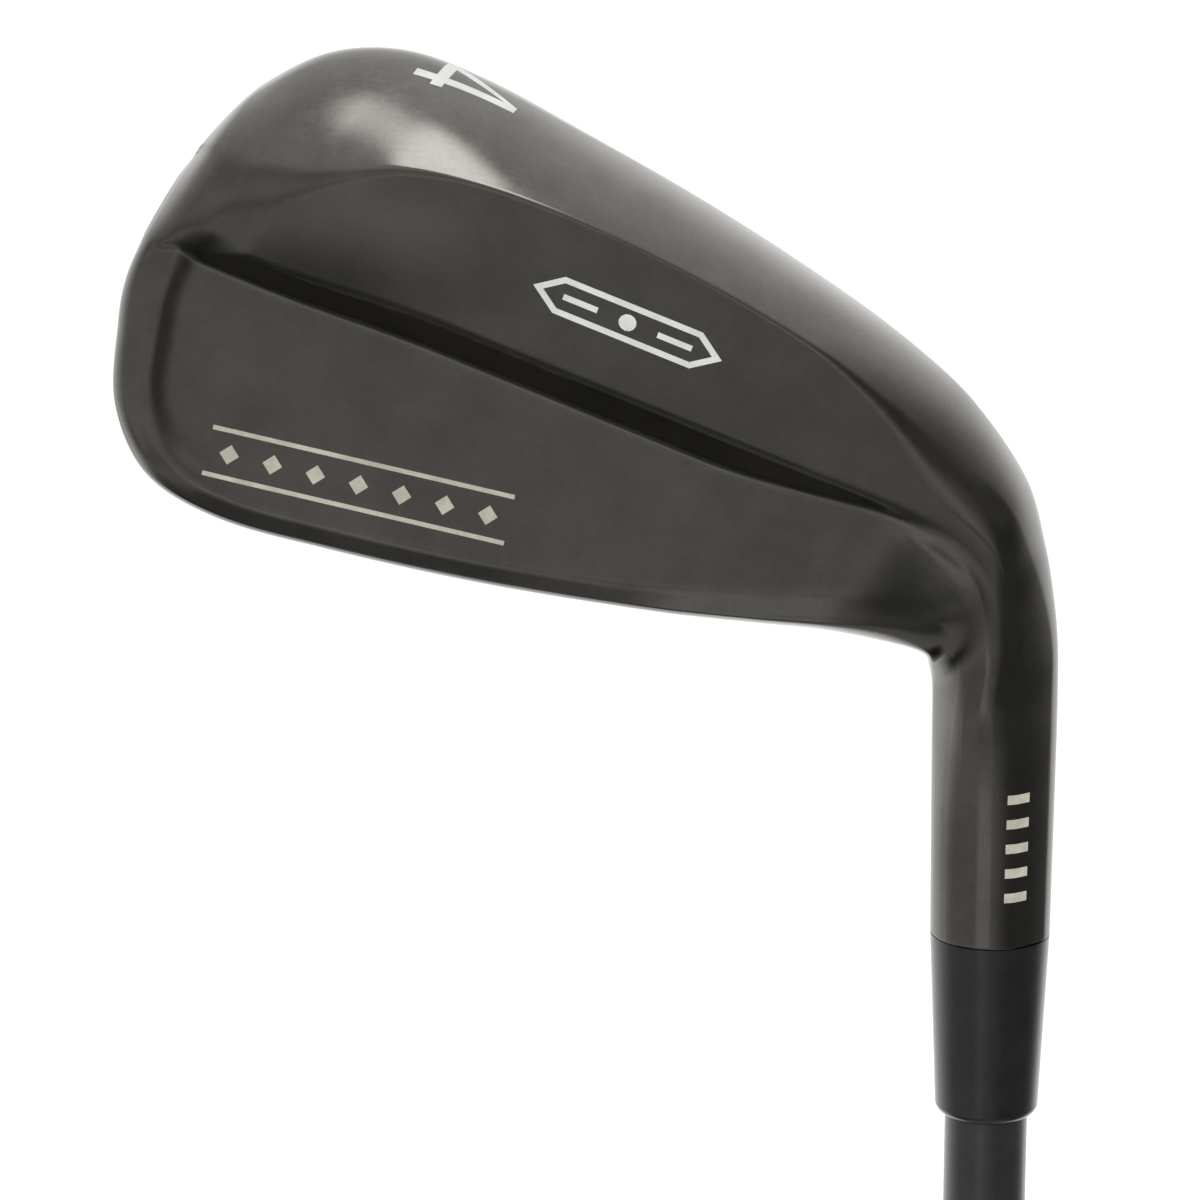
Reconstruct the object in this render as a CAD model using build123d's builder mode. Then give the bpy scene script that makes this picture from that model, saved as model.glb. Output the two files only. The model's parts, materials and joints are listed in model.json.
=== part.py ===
from build123d import *
from math import cos, hypot, radians, sin, sqrt
import os

# Number-4 hollow driving iron, right-handed, in millimetres.
# The origin is the centre of the vent hole at the butt end of the grip.
# +Z runs up the shaft to the head, the toe points to -X and the back of the head to -Y.

# ---- driving dimensions -------------------------------------------------------------------
LIE = 60.5                 # shaft to ground, degrees
LOFT = 22.0                # face to the plane square to the ground, degrees
GROUND_CROSSING = 984.0    # butt end to the point where the shaft axis meets the ground
FACE_OFFSET = 5.0          # face plane in front of that point, square to the face
HOSEL_LENGTH = 62.5        # ground crossing to the hosel end, along the shaft
HOSEL_END_RADIUS = 6.75
HOSEL_ROOT_RADIUS = 7.0
CROTCH_ACROSS = 9.5        # the heel turns about a point this far toe-side of the shaft axis
CROTCH_DOWN = 32.0         # and this far from the ground crossing, along the shaft

FACET_START = (20.0, 20.2, 10.0)   # toe, up and depth of a point on the muscle's flat facet
FACET_TOE_SLOPE = 0.102            # depth gained towards the toe
FACET_SOLE_SLOPE = 0.631           # depth gained towards the sole
POCKET_DEPTH = 5.5                 # face to the blade's back, above the ledge
LEADING_RADIUS = 2.6
TOP_FACE_BEVEL = 0.7       # topline to the face's upper edge
TOP_BEVEL = 2.0            # topline bevel on the back, up the face
TOP_BEVEL_DEPTH = 2.2      # and square to it
LEDGE_DROP = 0.3           # the ledge's top stays at least this much below the crease
TOE_ROUND_START = 76.0     # the toe rounds off from here
TOE_END = 91.2
TOE_ROUND_DEPTH = 14.5

PRISM = 3.0                # height of the shapes that the markings are cut from
INLAY_DEPTH = 0.5          # markings are let into the head by this much
BADGE_PLACE = (38.6, 15.8) # toe and up of the badge's middle, on the facet
BADGE_LENGTH = 22.0
BADGE_HEIGHT = 4.6
BADGE_POINT = 3.0
BADGE_RIM = 0.7
BADGE_DOT = 1.0
BADGE_DASH = 4.0
INLAY_PLACE = (55.0, 45.5) # toe and up of the pinstripes' middle, on the blade's back
INLAY_SLANT = 18.2
INLAY_LENGTH = 34.0
INLAY_SPREAD = 2.6
INLAY_LINE = 0.5
INLAY_COUNT = 7
INLAY_DIAMOND = 1.1

NUMERAL_PLACE = (67.5, 1.7, 6.3)   # toe, up and depth of the numeral's middle, on the sole
NUMERAL_TILT = 34.5        # the sole there, from square to the face, degrees
NUMERAL_TURN = 11.0        # and how far it is turned towards the toe
NUMERAL_HEIGHT = 12.0
NUMERAL_WIDTH = 6.6
NUMERAL_STROKE = 1.4
NUMERAL_FLOOR = 1.3        # its pocket, below the plane that touches the curved sole
BAR_COUNT = 5
BAR_PITCH = 2.9
BAR_WIDTH = 1.1
BAR_LENGTH = 2.8
BAR_DOWN = 50.5            # middle of the bars from the ground crossing, along the shaft
BAR_AROUND = 31.0          # their place round the hosel, from the back towards the heel, degrees
BAR_FLOOR_RADIUS = 6.45

PLATE_THICKNESS = 2.2
PLATE_CLEARING = 1.0       # the body is cut back this far in front of the plate too
PLATE_SOLE_MARGIN = 3.3    # head outline to plate outline, along the sole
PLATE_TOP_MARGIN = 2.6
PLATE_TOE_MARGIN = 2.6
PLATE_HEEL = 10.0          # the plate and the hollow begin this far from the ground crossing
TOE_STEP = 8.0             # the plate's outline follows the stations this far round the toe
TOE_TIP_UP = 29.0
BACK_WALL = 1.9            # wall behind the hollow, above the ledge
MUSCLE_WALL = 3.0          # and through the muscle
SOLE_WALL = 4.6
TOP_WALL = 5.0
CREASE_CLEARANCE = 1.0     # the hollow's corners stand off the crease and the ledge's top
LEDGE_CLEARANCE = 1.6
LEDGE_THINNING = 0.4       # the wall is this much thinner under the ledge's top
SCORE_COUNT = 9
SCORE_FIRST_UP = 4.8
SCORE_PITCH = 3.6
SCORE_HEEL = 14.0
SCORE_TOE = 68.0
SCORE_WIDTH = 0.9
SCORE_DEPTH = 0.45
WEIGHT_GAP = 0.3           # tungsten to the walls of the hollow
WEIGHT_HEIGHT = 4.0
DAMPER_HEEL = 34.0
DAMPER_TOE = 46.0
DAMPER_CORNERS = [(8.0, PLATE_THICKNESS), (9.0, 9.0), (18.0, 6.5), (18.0, PLATE_THICKNESS)]  # up and depth

TIP_RADIUS = 4.7           # parallel tip of the shaft
TIP_INSIDE = 3.3
TIP_PARALLEL = 200.0       # length of the parallel tip
BUTT_RADIUS = 7.6
BUTT_INSIDE = 6.4
INSERTION = 30.0           # shaft inside the hosel
BORE_SPARE = 2.0           # hosel bore past the end of the shaft
BOND = 0.15                # epoxy thickness
PLUG_LENGTH = 12.0
FERRULE_LENGTH = 21.5
FERRULE_END_RADIUS = 5.85
FERRULE_ROUND = 1.0        # height of its rounded lower shoulder
FERRULE_SHOULDER = 1.2     # radius of that round

GRIP_END = 267.0           # grip mouth, from the butt
GRIP_BUTT_RADIUS = 13.4
GRIP_MOUTH_RADIUS = 8.9
GRIP_ROUND = 1.6
TAPE = 0.3
GROOVE_COUNT = 26
GROOVE_PITCH = 8.0
GROOVE_START = 34.0
GROOVE_WIDTH = 1.2
GROOVE_DEPTH = 0.6
GROOVE_RELIEF = 1.0        # the groove's cutter runs this far outside the grip
CAP_THICKNESS = 4.0
VENT_RADIUS = 1.7

# ---- the blade's own frame: toe, up the face, and depth behind the face --------------------
lie = radians(LIE)
loft_angle = radians(LOFT)
TOE = Vector(-sin(lie), 0, cos(lie))
TARGET = Vector(0, 1, 0)
SKYWARD = Vector(-cos(lie), 0, -sin(lie))
FACE_OUT = TARGET * cos(loft_angle) + SKYWARD * sin(loft_angle)
UP_FACE = SKYWARD * cos(loft_angle) - TARGET * sin(loft_angle)
GROUND_POINT = Vector(0, 0, GROUND_CROSSING)
HOSEL_END = GROUND_CROSSING - HOSEL_LENGTH


def blade_point(toe, up, depth):
    """A point given by its place in the blade's frame."""
    return GROUND_POINT + TOE * toe + UP_FACE * up + FACE_OUT * (FACE_OFFSET - depth)


def across_blade(toe):
    """The plane that cuts the blade square to the toe direction: x is up, y is depth."""
    return Plane(origin=blade_point(toe, 0, 0), x_dir=UP_FACE, z_dir=TOE)


def facet_depth(toe, up):
    """Depth of the muscle's flat facet behind the face."""
    start_toe, start_up, start_depth = FACET_START
    return start_depth + FACET_TOE_SLOPE * (toe - start_toe) - FACET_SOLE_SLOPE * (up - start_up)


def toe_limit(toe, depth):
    """A depth, cut down where the toe rounds off as a quarter of an ellipse."""
    past = max(toe - TOE_ROUND_START, 0) / (TOE_END - TOE_ROUND_START)
    return depth if past == 0 else min(depth, TOE_ROUND_DEPTH * sqrt(1 - past**2))


# ---- head sections --------------------------------------------------------------------------
# A section has eight corners and eight bulges: face, leading edge, sole, facet, ledge,
# blade back, top bevel and topline. A bulge is how far an edge bows outwards at its middle.

def blade_corners(toe, sole, crease, ledge_top, ledge_foot, top, back):
    """Corners at one toe station, from five heights and the depth of the blade's back."""
    crease_depth = toe_limit(toe, facet_depth(toe, crease))
    ledge_depth = min(facet_depth(toe, ledge_top), crease_depth - LEDGE_DROP)
    return [
        (top - TOP_FACE_BEVEL, 0.0),
        (sole + LEADING_RADIUS, 0.0),
        (sole, LEADING_RADIUS),
        (crease, crease_depth),
        (ledge_top, ledge_depth),
        (ledge_foot, back),
        (top - TOP_BEVEL, back),
        (top, back - TOP_BEVEL_DEPTH),
    ]


BLADE_BULGES = [0.0, 0.9, 1.3, 0.0, 0.0, 0.0, 0.15, 0.3]

# toe, then the heights of the sole, crease, ledge top, ledge foot and topline, then the back
BLADE_STATIONS = [
    (2.0, 2.0, 10.4, 17.8, 19.8, 31.8, POCKET_DEPTH + 0.3),
    (10.0, 0.2, 8.9, 18.8, 21.0, 35.6, POCKET_DEPTH),
    (20.0, -0.9, 7.9, 20.2, 22.7, 40.2, POCKET_DEPTH),
    (38.0, -1.6, 8.5, 22.9, 25.8, 47.5, POCKET_DEPTH),
    (55.0, -1.4, 10.8, 25.7, 28.9, 53.3, POCKET_DEPTH),
    (67.0, -0.6, 14.4, 27.7, 31.1, 56.6, POCKET_DEPTH),
    (76.0, 1.8, 22.0, 29.4, 32.4, 56.4, POCKET_DEPTH),
    (83.0, 6.7, 28.8, 32.0, 34.0, 51.5, POCKET_DEPTH + 0.9),
    (87.5, 13.5, 30.0, 32.2, 34.2, 43.5, POCKET_DEPTH + 0.2),
    (90.0, 21.0, 28.6, 30.2, 31.8, 37.0, POCKET_DEPTH - 2.2),
]

# The heel station passes through the crotch, where the blade begins to turn into the hosel.
HEEL_CORNERS = [
    (27.2, -3.6),
    (8.8, -2.2),
    (6.2, 0.8),
    (11.4, 11.2),
    (18.0, 8.8),
    (20.5, 7.2),
    (26.8, 4.0),
    (28.3, 1.8),
]
HEEL_BULGES = [0.8, 0.6, 1.4, 0.3, 0.1, 0.2, 0.3, 0.9]

# Directions of the same eight corners on the round hosel, in degrees from the crotch side.
HOSEL_ANGLES = [-60, -120, -150, 140, 90, 75, 45, 20]

CROTCH = GROUND_POINT + Vector(-CROTCH_ACROSS, 0, -CROTCH_DOWN)
HEEL_STEPS = 4
HOSEL_BLEND = 38.0         # a round section that leads the loft out of the hosel
LEAST_BULGE = 0.004        # keeps straight edges as very shallow arcs, so that every section matches
SECTION_PITCH = 3.0
SOLE_POINT = 4             # the sole corner's place among the section's points


def bulge_point(start, end, bulge):
    """The middle of an edge, moved outwards by its bulge."""
    along_x = end[0] - start[0]
    along_y = end[1] - start[1]
    length = hypot(along_x, along_y)
    middle_x = (start[0] + end[0]) / 2
    middle_y = (start[1] + end[1]) / 2
    return (middle_x - along_y / length * bulge, middle_y + along_x / length * bulge)


def section_points(plane, corners, bulges):
    """The eight corners of a section, each followed by the middle of its edge."""
    points = []
    for index, bulge in enumerate(bulges):
        start = corners[index]
        end = corners[(index + 1) % len(corners)]
        middle = bulge_point(start, end, max(bulge, LEAST_BULGE))
        points.append(plane.from_local_coords((start[0], start[1], 0)))
        points.append(plane.from_local_coords((middle[0], middle[1], 0)))
    return points


def smooth_between(knots, values, at):
    """A cubic through the values, with the slope at each knot set by its neighbours."""
    index = min(max(sum(knot <= at for knot in knots) - 1, 0), len(knots) - 2)
    slopes = []
    for knot in (index, index + 1):
        before = max(knot - 1, 0)
        after = min(knot + 1, len(knots) - 1)
        slopes.append((values[after] - values[before]) / (knots[after] - knots[before]))
    span = knots[index + 1] - knots[index]
    share = (at - knots[index]) / span
    rise = share**2 * (3 - 2 * share)
    leave = share * (1 - share) ** 2 * span
    arrive = share**2 * (share - 1) * span
    return mix(values[index], values[index + 1], rise) + slopes[0] * leave + slopes[1] * arrive


def round_section(radius, centre=0.0):
    """Corners and bulges of a round section, its centre moved along the section's x."""
    corners = [(centre + radius * cos(radians(a)), radius * sin(radians(a))) for a in HOSEL_ANGLES]
    bulges = []
    for index, angle in enumerate(HOSEL_ANGLES):
        turn = (angle - HOSEL_ANGLES[(index + 1) % len(HOSEL_ANGLES)]) % 360
        bulges.append(radius * (1 - cos(radians(turn / 2))))
    return corners, bulges


def heel_plane(part_way):
    """A plane through the crotch point: 0 is square to the hosel and 1 is square to the blade."""
    turn = lie * part_way
    roll = loft_angle * part_way
    flat_up = Vector(-cos(turn), 0, -sin(turn))
    up = flat_up * cos(roll) - TARGET * sin(roll)
    return Plane(origin=CROTCH, x_dir=up, z_dir=Vector(-sin(turn), 0, cos(turn)))


def mix(first, second, share):
    return first + (second - first) * share


def hosel_plane(down):
    """Square to the shaft, this far from the ground crossing, x towards the crotch."""
    return Plane(origin=GROUND_POINT - Vector(0, 0, down), x_dir=(-1, 0, 0), z_dir=(0, 0, 1))


# ---- head blank: hosel, heel and blade in one loft ------------------------------------------
def heel_section(share):
    """A section part of the way from the round hosel to the heel station."""
    blend = share**2
    round_corners, round_bulges = round_section(HOSEL_ROOT_RADIUS, -CROTCH_ACROSS)
    crotch_up = (CROTCH - GROUND_POINT).dot(UP_FACE)
    crotch_depth = FACE_OFFSET - (CROTCH - GROUND_POINT).dot(FACE_OUT)
    corners = []
    for (round_x, round_y), (up, depth) in zip(round_corners, HEEL_CORNERS):
        corners.append((mix(round_x, up - crotch_up, blend), mix(round_y, depth - crotch_depth, blend)))
    bulges = [mix(first, second, blend) for first, second in zip(round_bulges, HEEL_BULGES)]
    return section_points(heel_plane(share), corners, bulges)


key_sections = [section_points(hosel_plane(HOSEL_BLEND), *round_section(HOSEL_ROOT_RADIUS))]
for step in range(HEEL_STEPS + 1):
    key_sections.append(heel_section(step / HEEL_STEPS))
for station in BLADE_STATIONS:
    key_sections.append(section_points(across_blade(station[0]), blade_corners(*station), BLADE_BULGES))

# Each section's place along the loft is the distance run by its sole corner.
knots = [0.0]
for before, after in zip(key_sections, key_sections[1:]):
    knots.append(knots[-1] + (after[SOLE_POINT] - before[SOLE_POINT]).length)
places = []
for before, after in zip(knots, knots[1:]):
    pieces = max(round((after - before) / SECTION_PITCH), 1)
    for piece in range(pieces):
        places.append(mix(before, after, piece / pieces))
places.append(knots[-1])

outlines = []
for place in places:
    points = [smooth_between(knots, rail, place) for rail in zip(*key_sections)]
    edges = []
    for index in range(0, len(points), 2):
        end = points[(index + 2) % len(points)]
        edges.append(Edge.make_three_point_arc(points[index], points[index + 1], end))
    outlines.append(Wire(edges))

with BuildPart() as blank:
    add(Solid.make_loft(outlines, ruled=True))
    with BuildSketch(hosel_plane(HOSEL_BLEND)):
        Circle(HOSEL_ROOT_RADIUS)
    with BuildSketch(hosel_plane(HOSEL_LENGTH)):
        Circle(HOSEL_END_RADIUS)
    loft()


# ---- markings: inlays let into the head -----------------------------------------------------
def facet_plane(toe, up):
    """A plane on the muscle's facet: x runs along the ledge and y up the facet."""
    depth = facet_depth(toe, up)
    rise = FACET_TOE_SLOPE / FACET_SOLE_SLOPE
    outwards = UP_FACE * FACET_SOLE_SLOPE - FACE_OUT - TOE * FACET_TOE_SLOPE
    return Plane(origin=blade_point(toe, up, depth), x_dir=TOE + UP_FACE * rise, z_dir=outwards)


def back_plane(toe, up, depth, slant):
    """A plane parallel to the face, its x turned up from the toe direction by the slant."""
    turn = radians(slant)
    along = TOE * cos(turn) + UP_FACE * sin(turn)
    return Plane(origin=blade_point(toe, up, depth), x_dir=along, z_dir=-FACE_OUT)


with BuildPart() as muscle_badge:
    with BuildSketch(facet_plane(*BADGE_PLACE).offset(-INLAY_DEPTH)):
        with BuildLine():
            Polyline(
                (-BADGE_LENGTH / 2, 0),
                (-BADGE_LENGTH / 2 + BADGE_POINT, BADGE_HEIGHT / 2),
                (BADGE_LENGTH / 2 - BADGE_POINT, BADGE_HEIGHT / 2),
                (BADGE_LENGTH / 2, 0),
                (BADGE_LENGTH / 2 - BADGE_POINT, -BADGE_HEIGHT / 2),
                (-BADGE_LENGTH / 2 + BADGE_POINT, -BADGE_HEIGHT / 2),
                close=True,
            )
        make_face()
        offset(amount=-BADGE_RIM, mode=Mode.SUBTRACT)
        Circle(BADGE_DOT)
        for side in (-1, 1):
            with Locations((side * BADGE_LENGTH / 4, 0)):
                Rectangle(BADGE_DASH, BADGE_RIM)
    extrude(amount=PRISM)
    add(blank.part, mode=Mode.INTERSECT)

with BuildPart() as blade_inlay:
    with BuildSketch(back_plane(*INLAY_PLACE, POCKET_DEPTH - INLAY_DEPTH, INLAY_SLANT)):
        with Locations((0, INLAY_SPREAD), (0, -INLAY_SPREAD)):
            Rectangle(INLAY_LENGTH, INLAY_LINE)
        with GridLocations(INLAY_LENGTH / INLAY_COUNT, 0, INLAY_COUNT, 1):
            RegularPolygon(INLAY_DIAMOND, 4, rotation=0)
    extrude(amount=PRISM)
    add(blank.part, mode=Mode.INTERSECT)


def sole_plane():
    """A plane on the sole: x runs to the trailing edge and y towards the heel."""
    tilt = radians(NUMERAL_TILT)
    square = -UP_FACE * cos(tilt) - FACE_OUT * sin(tilt)
    turn = radians(NUMERAL_TURN)
    outwards = square * cos(turn) + TOE * sin(turn)
    along = UP_FACE * sin(tilt) - FACE_OUT * cos(tilt)
    return Plane(origin=blade_point(*NUMERAL_PLACE), x_dir=along, z_dir=outwards)


with BuildPart() as sole_numeral:
    with BuildSketch(sole_plane().offset(-NUMERAL_FLOOR)):
        stem = NUMERAL_WIDTH / 4
        bar = -NUMERAL_HEIGHT / 4
        with Locations((stem, 0)):
            Rectangle(NUMERAL_STROKE, NUMERAL_HEIGHT)
        with Locations((0, bar)):
            Rectangle(NUMERAL_WIDTH, NUMERAL_STROKE)
        with BuildLine():
            Polyline(
                (-NUMERAL_WIDTH / 2, bar - NUMERAL_STROKE / 2),
                (-NUMERAL_WIDTH / 2, bar + NUMERAL_STROKE / 2),
                (stem - NUMERAL_STROKE / 2, NUMERAL_HEIGHT / 2),
                (stem, NUMERAL_HEIGHT / 2),
                (stem, NUMERAL_HEIGHT / 2 - NUMERAL_STROKE),
                (-NUMERAL_WIDTH / 2 + NUMERAL_STROKE, bar),
                close=True,
            )
        make_face()
    extrude(amount=PRISM)
    add(blank.part, mode=Mode.INTERSECT)

with BuildPart() as hosel_inlay:
    around = radians(BAR_AROUND)
    outwards = Vector(sin(around), -cos(around), 0)
    middle = GROUND_POINT - Vector(0, 0, BAR_DOWN) + outwards * BAR_FLOOR_RADIUS
    with BuildSketch(Plane(origin=middle, x_dir=(0, 0, 1), z_dir=outwards)):
        with GridLocations(BAR_PITCH, 0, BAR_COUNT, 1):
            Rectangle(BAR_WIDTH, BAR_LENGTH)
    extrude(amount=PRISM)
    add(blank.part, mode=Mode.INTERSECT)


# ---- face plate ------------------------------------------------------------------------------
face = Plane(origin=blade_point(0, 0, 0), x_dir=TOE, z_dir=-FACE_OUT)
plated = [station for station in BLADE_STATIONS if PLATE_HEEL <= station[0] < TOE_ROUND_START + TOE_STEP]
plate_outline = [(station[0], station[1] + PLATE_SOLE_MARGIN) for station in plated]
toe_tip = (TOE_END - PLATE_TOE_MARGIN, TOE_TIP_UP)
plate_outline += [toe_tip] + [(station[0], station[5] - PLATE_TOP_MARGIN) for station in reversed(plated)]

with BuildPart() as face_plate:
    with BuildSketch(face) as window_sketch:
        with BuildLine():
            edge = Spline(*plate_outline)
            Line(edge @ 1, edge @ 0)
        make_face()
    extrude(amount=PLATE_THICKNESS)
    with BuildSketch(face):
        for line in range(SCORE_COUNT):
            with Locations(((SCORE_HEEL + SCORE_TOE) / 2, SCORE_FIRST_UP + line * SCORE_PITCH)):
                SlotOverall(SCORE_TOE - SCORE_HEEL, SCORE_WIDTH)
    extrude(amount=SCORE_DEPTH, mode=Mode.SUBTRACT)


with BuildPart() as window:
    extrude(window_sketch.sketch, amount=PLATE_THICKNESS, dir=-FACE_OUT)
    extrude(window_sketch.sketch, amount=PLATE_CLEARING, dir=FACE_OUT)


# ---- head body: the blank, hollowed, with its plate window, hosel bore and marking pockets ----
def hollow_corners(station):
    """The hollow's outline at one station, from the face plate round to the blade's back."""
    toe, sole, crease, ledge_top, ledge_foot, top, back = station
    crease_depth = toe_limit(toe, facet_depth(toe, crease))
    return [
        (sole + SOLE_WALL, PLATE_THICKNESS),
        (crease + CREASE_CLEARANCE, crease_depth - MUSCLE_WALL),
        (ledge_top - LEDGE_CLEARANCE, facet_depth(toe, ledge_top) - MUSCLE_WALL + LEDGE_THINNING),
        (ledge_foot, back - BACK_WALL),
        (top - TOP_WALL, back - BACK_WALL),
        (top - TOP_WALL, PLATE_THICKNESS),
    ]


def polygon_section(toe, corners):
    """A straight-sided section of the blade."""
    with BuildSketch(across_blade(toe)) as section:
        with BuildLine():
            Polyline(*corners, close=True)
        make_face()
    return section.sketch.face()


hollowed = [station for station in BLADE_STATIONS if PLATE_HEEL <= station[0] <= TOE_ROUND_START]
hollow_sections = [polygon_section(station[0], hollow_corners(station)) for station in hollowed]
with BuildPart() as hollow:
    loft(sections=hollow_sections, ruled=True)

with BuildPart() as head_body:
    add(blank.part)
    add(window.part, mode=Mode.SUBTRACT)
    add(hollow.part, mode=Mode.SUBTRACT)
    with BuildSketch(hosel_plane(HOSEL_LENGTH)):
        Circle(TIP_RADIUS + BOND)
    extrude(amount=INSERTION + BORE_SPARE, mode=Mode.SUBTRACT)
    for inlay in (muscle_badge, blade_inlay, sole_numeral, hosel_inlay):
        add(inlay.part, mode=Mode.SUBTRACT)


# ---- pieces inside the hollow ------------------------------------------------------------------
def weight_corners(station):
    """Tungsten sits in the hollow's corner over the trailing edge, clear of the walls."""
    corners = hollow_corners(station)
    low, deep = corners[0], corners[1]
    return [
        (low[0] + 2 * WEIGHT_GAP, PLATE_THICKNESS + WEIGHT_GAP),
        (deep[0], deep[1] - 2 * WEIGHT_GAP),
        (deep[0] + WEIGHT_HEIGHT, deep[1] - WEIGHT_HEIGHT),
        (low[0] + WEIGHT_HEIGHT, PLATE_THICKNESS + WEIGHT_GAP),
    ]


def weight_sections(near, far):
    """The weight's two ends, each a little inside the stations that it lies between."""
    near_end = polygon_section(near[0] + WEIGHT_GAP, weight_corners(near))
    far_end = polygon_section(far[0] - WEIGHT_GAP, weight_corners(far))
    return [near_end, far_end]


with BuildPart() as heel_weight:
    loft(sections=weight_sections(hollowed[0], hollowed[1]))

with BuildPart() as toe_weight:
    loft(sections=weight_sections(hollowed[-3], hollowed[-2]))

with BuildPart() as damper:
    with BuildSketch(across_blade(DAMPER_HEEL)):
        with BuildLine():
            Polyline(*DAMPER_CORNERS, close=True)
        make_face()
    extrude(amount=DAMPER_TOE - DAMPER_HEEL)


# ---- shaft assembly -----------------------------------------------------------------------------
TIP_END = HOSEL_END + INSERTION
TAPER_END = TIP_END - TIP_PARALLEL


def taper_radius(height, butt, tip):
    """A radius on the straight taper from the butt to the parallel tip."""
    share = (height - CAP_THICKNESS) / (TAPER_END - CAP_THICKNESS)
    return mix(butt, tip, min(max(share, 0), 1))


def outer_radius(height):
    return taper_radius(height, BUTT_RADIUS, TIP_RADIUS)


def turned(*corners):
    """A ring turned about the shaft axis, from the corners (radius, height) of its profile."""
    with BuildPart() as ring:
        with BuildSketch(Plane.XZ):
            with BuildLine():
                Polyline(*corners, close=True)
            make_face()
        revolve(axis=Axis.Z)
    return ring.part


with BuildPart() as shaft:
    add(turned(
        (BUTT_INSIDE, CAP_THICKNESS),
        (BUTT_RADIUS, CAP_THICKNESS),
        (TIP_RADIUS, TAPER_END),
        (TIP_RADIUS, TIP_END),
        (TIP_INSIDE, TIP_END),
        (TIP_INSIDE, TAPER_END),
    ))

with BuildPart() as hosel_bond:
    add(turned(
        (TIP_RADIUS, HOSEL_END),
        (TIP_RADIUS + BOND, HOSEL_END),
        (TIP_RADIUS + BOND, TIP_END),
        (TIP_RADIUS, TIP_END),
    ))

with BuildPart() as tip_plug:
    with BuildSketch(Plane.XY.offset(TIP_END - PLUG_LENGTH)):
        Circle(TIP_INSIDE)
    extrude(amount=PLUG_LENGTH)

with BuildPart() as ferrule:
    lower_end = HOSEL_END - FERRULE_LENGTH
    with BuildSketch(Plane.XZ):
        with BuildLine():
            Polyline((TIP_RADIUS, lower_end), (TIP_RADIUS, HOSEL_END), (HOSEL_END_RADIUS, HOSEL_END))
            Line((HOSEL_END_RADIUS, HOSEL_END), (FERRULE_END_RADIUS, lower_end + FERRULE_ROUND))
            shoulder_start = (FERRULE_END_RADIUS, lower_end + FERRULE_ROUND)
            RadiusArc(shoulder_start, (TIP_RADIUS, lower_end), FERRULE_SHOULDER)
        make_face()
    revolve(axis=Axis.Z)


# ---- grip -----------------------------------------------------------------------------------------
with BuildPart() as grip_tape:
    add(turned(
        (outer_radius(CAP_THICKNESS), CAP_THICKNESS),
        (outer_radius(CAP_THICKNESS) + TAPE, CAP_THICKNESS),
        (outer_radius(GRIP_END) + TAPE, GRIP_END),
        (outer_radius(GRIP_END), GRIP_END),
    ))


def grip_radius(height):
    return mix(GRIP_BUTT_RADIUS, GRIP_MOUTH_RADIUS, height / GRIP_END)


with BuildPart() as grip:
    add(turned(
        (outer_radius(CAP_THICKNESS) + TAPE, CAP_THICKNESS),
        (grip_radius(CAP_THICKNESS), CAP_THICKNESS),
        (grip_radius(GRIP_END), GRIP_END),
        (outer_radius(GRIP_END) + TAPE, GRIP_END),
    ))
    fillet(grip.edges().sort_by(Axis.Z)[-1], GRIP_ROUND / 2)
    for ring in range(GROOVE_COUNT):
        height = GROOVE_START + ring * GROOVE_PITCH
        radius = grip_radius(height)
        groove = turned(
            (radius - GROOVE_DEPTH, height),
            (radius + GROOVE_RELIEF, height - GROOVE_WIDTH),
            (radius + GROOVE_RELIEF, height + GROOVE_WIDTH),
        )
        add(groove, mode=Mode.SUBTRACT)

with BuildPart() as grip_cap:
    with BuildSketch():
        Circle(grip_radius(CAP_THICKNESS))
    extrude(amount=CAP_THICKNESS)
    fillet(grip_cap.edges().sort_by(Axis.Z)[0], GRIP_ROUND)
    with BuildSketch():
        Circle(VENT_RADIUS)
    extrude(amount=CAP_THICKNESS, mode=Mode.SUBTRACT)


# ---- one STEP file for each piece -------------------------------------------------------------------
pieces = {
    "head_body": head_body,
    "face_plate": face_plate,
    "heel_weight": heel_weight,
    "toe_weight": toe_weight,
    "damper": damper,
    "muscle_badge": muscle_badge,
    "blade_inlay": blade_inlay,
    "sole_numeral": sole_numeral,
    "hosel_inlay": hosel_inlay,
    "ferrule": ferrule,
    "hosel_bond": hosel_bond,
    "tip_plug": tip_plug,
    "shaft": shaft,
    "grip_tape": grip_tape,
    "grip": grip,
    "grip_cap": grip_cap,
}
os.makedirs("parts", exist_ok=True)
for name, piece in pieces.items():
    piece.part.label = name
    export_step(piece.part, f"parts/{name}.step")
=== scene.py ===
import json
import math

import bpy
import numpy as np
from mathutils import Matrix, Vector
from mathutils.bvhtree import BVHTree


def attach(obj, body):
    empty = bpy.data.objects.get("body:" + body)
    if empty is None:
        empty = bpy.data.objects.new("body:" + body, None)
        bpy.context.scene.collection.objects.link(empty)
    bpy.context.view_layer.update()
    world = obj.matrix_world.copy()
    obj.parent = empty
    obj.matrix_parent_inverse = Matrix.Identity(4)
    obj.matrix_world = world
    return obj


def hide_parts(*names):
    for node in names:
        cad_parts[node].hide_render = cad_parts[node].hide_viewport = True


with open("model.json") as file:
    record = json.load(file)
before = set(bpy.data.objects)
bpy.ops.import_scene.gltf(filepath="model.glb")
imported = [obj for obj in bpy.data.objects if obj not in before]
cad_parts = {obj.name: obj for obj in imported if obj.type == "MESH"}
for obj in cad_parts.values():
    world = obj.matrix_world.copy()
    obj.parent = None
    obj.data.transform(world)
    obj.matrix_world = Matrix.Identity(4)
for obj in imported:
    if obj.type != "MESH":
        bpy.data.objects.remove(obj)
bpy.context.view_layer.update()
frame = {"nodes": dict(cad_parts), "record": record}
nodes = frame["nodes"]
MM = 0.001

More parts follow.
